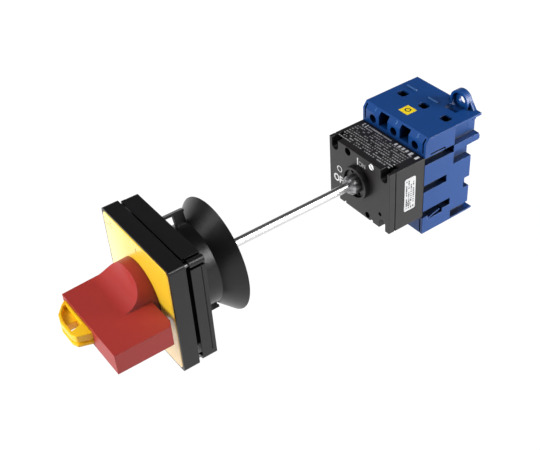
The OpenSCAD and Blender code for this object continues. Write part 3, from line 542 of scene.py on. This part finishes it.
boxLow, boxHigh = boxOf("mechanism_box")
topMiddle = (boxLow.y + boxHigh.y) / 2
boxTop = boxHigh.z + film
onBoxTop = {"right": (1, 0, 0), "up": (0, 1, 0), "body": "base", "slot": "box_plastic", "ink": "white"}
boxTopPrint = {
    "boxTopRows": {"at": (-1.5, topMiddle - 2.0, boxTop), "ink": "grey", "rows": {
        "Rows": 9, "Columns": 24, "Width": 42 * mm, "Height": 15.5 * mm, "Dash Height": 0.75 * mm,
        "Shortest": 0.3, "Longest": 1.0, "Filled": 0.8, "Seed": 5}},
    "boxTopLine": {"at": (-6.5, boxHigh.y - 2.6, boxTop), "ink": "grey", "rows": {
        "Rows": 1, "Columns": 14, "Width": 21 * mm, "Height": 1 * mm, "Dash Height": 1.1 * mm, "Seed": 11}},
    "boxTopHead": {"at": (10.0, boxHigh.y - 2.8, boxTop), "rows": {
        "Rows": 1, "Columns": 4, "Width": 9 * mm, "Height": 1 * mm, "Dash Height": 2.2 * mm,
        "Shortest": 0.6, "Longest": 0.8, "Filled": 1.0, "Seed": 2}},
    "boxTopEnd": {"at": (20.3, boxHigh.y - 3.0, boxTop), "rows": {
        "Rows": 1, "Columns": 2, "Width": 5 * mm, "Height": 1 * mm, "Dash Height": 3.2 * mm,
        "Shortest": 0.7, "Longest": 0.8, "Filled": 1.0, "Seed": 4}},
    "boxTopStart": {"at": (-20.3, boxHigh.y - 3.0, boxTop), "rows": {
        "Rows": 2, "Columns": 2, "Width": 2.6 * mm, "Height": 1.4 * mm, "Dash Height": 0.9 * mm,
        "Shortest": 0.7, "Longest": 0.8, "Filled": 1.0, "Seed": 7}},
}
for name, look in boxTopPrint.items():
    printRows(name, {**onBoxTop, **look})

labelLow, labelHigh = boxOf("type_label")
labelMiddle = (labelLow + labelHigh) / 2
onLabel = {"right": (0, 0, -1), "up": (0, 1, 0), "body": "base", "slot": "white_label", "ink": "dark"}
labelPrint = {
    "labelRows": {"at": (labelHigh.x + film, labelMiddle.y, labelMiddle.z), "rows": {
        "Rows": 4, "Columns": 13, "Width": 18 * mm, "Height": 5 * mm, "Dash Height": 0.8 * mm, "Seed": 8}},
    "labelBlock": {"at": (labelHigh.x + 2 * film, labelLow.y + 3.0, labelLow.z + 5.5), "rows": {
        "Rows": 4, "Columns": 4, "Width": 3 * mm, "Height": 2.6 * mm, "Dash Height": 0.6 * mm,
        "Shortest": 0.7, "Longest": 0.95, "Filled": 0.8, "Seed": 9}},
}
for name, look in labelPrint.items():
    printRows(name, {**onLabel, **look})

stickerLow, stickerHigh = boxOf("warning_sticker")
stickerMiddle = (stickerLow + stickerHigh) / 2
printWords("stickerMark", "O", {
    "right": (1, 0, 0), "up": (0, 1, 0), "body": "base", "slot": "yellow_label", "ink": "dark",
    "height": 3.6, "weight": 0.1, "at": (stickerMiddle.x, stickerMiddle.y, stickerHigh.z + film)})

# The numbers of the poles stand on the bevel along the block's top front edge
bevel = {"height": 3.6, "depth": 2.6, "top": 29.9, "front": boxOf("contact_housing")[0].y}
poleMarks = {"words": ("1", "3", "5"), "pitch": 17.5, "shift": 1.0, "height": 2.2, "lift": 0.03}
onBevel = {"right": (1, 0, 0), "up": (0, bevel["depth"], bevel["height"]), "body": "base",
           "slot": "blue_plastic", "ink": "lightBlue", "height": poleMarks["height"]}
for pole, words in zip((-1, 0, 1), poleMarks["words"]):
    printWords("pole" + words, words, {**onBevel, "at": (
        poleMarks["pitch"] * pole + poleMarks["shift"],
        bevel["front"] + bevel["depth"] / 2 - poleMarks["lift"],
        bevel["top"] - bevel["height"] / 2 + poleMarks["lift"])})

plateFace = boxOf("front_plate")[0].y - film
onPlate = {"right": (1, 0, 0), "up": (0, 0, 1), "body": "door_unit", "slot": "yellow_plate", "ink": "dark"}
printWords("plateTick", "I", {**onPlate, "height": 3.0, "at": (1.2, plateFace, 26.0)})
printRows("plateCornerRows", {**onPlate, "ink": "paleGrey", "at": (-26.5, plateFace, 26.5), "rows": {
    "Rows": 3, "Columns": 5, "Width": 6 * mm, "Height": 3 * mm, "Dash Height": 0.7 * mm, "Seed": 6}})
print("print done")


# Springs behind the contact bridges

def springTree(material):
    # Coils of round wire in a row, each wound along the tree's own Z
    tree = Tree("coilSprings", {
        "Springs": 3, "Pitch": 0.015, "Radius": 0.0012, "Wire": 0.00025, "Length": 0.005, "Turns": 4.0})
    winding = tree.add("GeometryNodeCurveSpiral", {}, {
        "Resolution": 28, "Rotations": tree.inputs["Turns"], "Start Radius": tree.inputs["Radius"],
        "End Radius": tree.inputs["Radius"], "Height": tree.inputs["Length"]})
    section = tree.add("GeometryNodeCurvePrimitiveCircle", {"mode": "RADIUS"}, {
        "Resolution": 10, "Radius": tree.inputs["Wire"]})
    coil = tree.add("GeometryNodeCurveToMesh", {}, {"Curve": winding, "Profile Curve": section, "Fill Caps": True})
    step = tree.vector(tree.inputs["Pitch"])
    row = tree.add("GeometryNodeMeshLine", {"mode": "OFFSET"}, {"Count": tree.inputs["Springs"], "Offset": step})
    springs = tree.add("GeometryNodeInstanceOnPoints", {}, {"Points": row, "Instance": coil})
    tree.finish(springs, material)
    return tree


def addSprings(nodeName, look):
    # They fill the box of the node that they stand for
    low, high = boxOf(nodeName)
    outer = (high.z - low.z) / 2
    wall = look["wire"] + look["inside"]
    values = {
        "Springs": look["count"], "Pitch": (high.x - low.x - 2 * outer) / (look["count"] - 1) * mm,
        "Radius": (outer - wall) * mm, "Wire": look["wire"] * mm,
        "Length": (high.y - low.y - 2 * wall) * mm, "Turns": look["turns"]}
    place = facing((low.x + outer, low.y + wall, (low.z + high.z) / 2), (1, 0, 0), (0, 0, -1))
    slot = slotOf[nodeName]
    mesh = springTree(finishes[slot]).mesh(look["name"], values, place)
    piece = addPiece(look["name"], mesh, bodyOf[nodeName], slot)
    piece.data.shade_smooth()
    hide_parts(nodeName)


addSprings("bridge_springs", {"name": "bridgeCoils", "count": 3, "wire": 0.25, "inside": 0.03, "turns": 4.0})
print("springs done")


# Stage, light and camera

stage = {"floor": -75 * mm, "size": 6.0, "floorColour": (0.65, 0.65, 0.65), "shadow": 0.15, "white": 1.1}


def studioWhite(name, look):
    # Seen directly or in a reflection it is white, and it keeps a part of its shadow
    finish = Finish(name)
    seen = finish.larger(finish.ray("Camera"), finish.ray("Glossy"))
    seen = finish.larger(seen, finish.ray("Transmission"))
    matte = finish.node("BsdfDiffuse", {}, {"Color": look["floorColour"]})
    white = finish.node("Emission", {}, {"Color": (1, 1, 1), "Strength": look["white"]})
    finish.output(finish.node("MixShader", {}, {0: seen * (1 - look["shadow"]), 1: matte, 2: white}))
    return finish.material


def makeFloor(look):
    half = look["size"] / 2
    mesh = bpy.data.meshes.new("floor")
    corners = [(-half, -half), (half, -half), (half, half), (-half, half)]
    mesh.from_pydata([(x, y, look["floor"]) for x, y in corners], [], [(0, 1, 2, 3)])
    floor = bpy.data.objects.new("floor", mesh)
    bpy.context.scene.collection.objects.link(floor)
    mesh.materials.append(studioWhite("studioFloor", look))


makeFloor(stage)

air = {"soft": 0.36, "glossLow": 1.0, "glossHigh": 0.05, "horizon": -0.02, "overhead": 0.25}


def makeWorld(look):
    # White to the camera, a pale fill for soft light, and darker overhead in reflections
    world = bpy.data.worlds.new("studio")
    bpy.context.scene.world = world
    world.use_nodes = True
    sky = Finish("studio", world.node_tree)
    height = sky.node("SeparateXYZ", {}, {0: sky.node("TexCoord", out="Generated")}, out="Z")
    overhead = sky.step(height, look["horizon"], look["overhead"])
    gloss = look["glossLow"] + overhead * (look["glossHigh"] - look["glossLow"])
    strength = look["soft"] + sky.ray("Glossy") * (gloss - look["soft"]) + sky.ray("Camera") * (1 - look["soft"])
    sky.output(sky.node("Background", {}, {"Color": (1, 1, 1), "Strength": strength}), "World")


makeWorld(air)

lamps = {
    "key": {"at": (-0.3, -1.15, 0.5), "aim": (0, -0.15, 0), "size": 0.7, "watts": 14, "shine": False},
    "sheen": {"at": (-0.42, -0.9, 0.85), "aim": (0, -0.15, 0), "size": 0.4, "watts": 2.4, "shine": True},
    "side": {"at": (0.5, 0.4, 0.15), "aim": (0, 0.6, 0), "size": 0.4, "watts": 11, "shine": True},
    "edge": {"at": (0.69, 0.34, 0.72), "aim": (0, -0.12, 0), "size": 0.45, "watts": 8, "shine": True,
             "fill": False},
}
for lampName, look in lamps.items():
    light = bpy.data.lights.new(lampName, "AREA")
    light.shape = "SQUARE"
    light.size = look["size"]
    light.energy = look["watts"]
    lamp = bpy.data.objects.new(lampName, light)
    at = Vector(look["at"])
    turn = (Vector(look["aim"]) - at).to_track_quat("-Z", "Y").to_matrix().to_4x4()
    lamp.matrix_world = Matrix.Translation(at) @ turn
    lamp.visible_glossy = look["shine"]
    lamp.visible_diffuse = look.get("fill", True)
    bpy.context.scene.collection.objects.link(lamp)

# The photograph's camera, found from the object's straight edges
shot = {"azimuth": 57.1636, "elevation": 38.7832, "roll": -4.5622, "at": (340.83, -347.87, 326.39),
        "lens": 65.01, "sensor": 36, "nearest": 0.01}


def makeCamera(look):
    turn, rise, roll = (math.radians(look[key]) for key in ("azimuth", "elevation", "roll"))
    back = Vector((math.sin(turn) * math.cos(rise), -math.cos(turn) * math.cos(rise), math.sin(rise)))
    level = Vector((math.cos(turn), math.sin(turn), 0))
    upright = back.cross(level)
    right = level * math.cos(roll) + upright * math.sin(roll)
    up = upright * math.cos(roll) - level * math.sin(roll)
    data = bpy.data.cameras.new("camera")
    data.lens = look["lens"]
    data.sensor_width = look["sensor"]
    data.clip_start = look["nearest"]
    camera = bpy.data.objects.new("camera", data)
    axes = Matrix((right, up, back)).transposed().to_4x4()
    camera.matrix_world = Matrix.Translation(Vector(look["at"]) * mm) @ axes
    bpy.context.scene.collection.objects.link(camera)
    bpy.context.scene.camera = camera


makeCamera(shot)
bpy.context.scene.view_settings.view_transform = "Standard"
print("stage, light and camera done")
